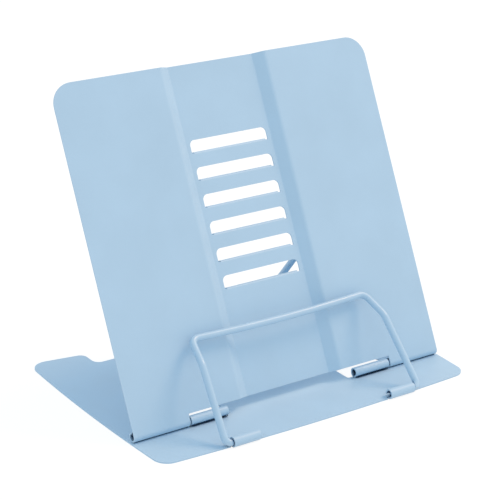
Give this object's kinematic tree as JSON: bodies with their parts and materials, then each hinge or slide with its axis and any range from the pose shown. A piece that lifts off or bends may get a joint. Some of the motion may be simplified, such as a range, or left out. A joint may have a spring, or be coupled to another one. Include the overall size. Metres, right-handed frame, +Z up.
{
  "type": "book stand",
  "caption": "Folding sheet-steel book stand: flat base plate, back panel on a pinned hinge, wire prop in hook slots, and a wire page holder in front.",
  "frame": {"origin": "bottom centre of the bounding box, on the surface that the base plate stands on", "axes": "+X to the right as a reader sees it, +Y away from the reader, +Z up"},
  "size_m": [0.2054, 0.1421, 0.1697],
  "materials": {
    "painted_sheet": "light blue powder coat, satin",
    "painted_wire": "light blue powder coat, satin",
    "painted_pin": "light blue powder coat, satin"
  },
  "bodies": {
    "base": {"base_plate": "painted_sheet", "hinge_pin_left": "painted_pin", "hinge_pin_right": "painted_pin"},
    "panel": {"back_panel": "painted_sheet"},
    "holder": {"page_holder": "painted_wire"},
    "prop": {"prop_wire": "painted_wire"}
  },
  "joints": [
    {"name": "panel_hinge", "type": "hinge", "parent": "base", "child": "panel", "pos_m": [0, -0.03792, 0.00363], "axis": [1, 0, 0], "range_deg": [0, 2.5]},
    {"name": "prop_hinge", "type": "hinge", "parent": "base", "child": "prop", "pos_m": [0, 0.05399, 0.0028], "axis": [1, 0, 0], "range_deg": [0, 5]},
    {"name": "holder_hinge", "type": "hinge", "parent": "base", "child": "holder", "pos_m": [0, -0.06821, 0.0028], "axis": [1, 0, 0], "range_deg": [0, 130]}
  ],
  "couplings": [
    {"joint": "prop_hinge", "follows": "panel_hinge", "ratio": 2}
  ]
}
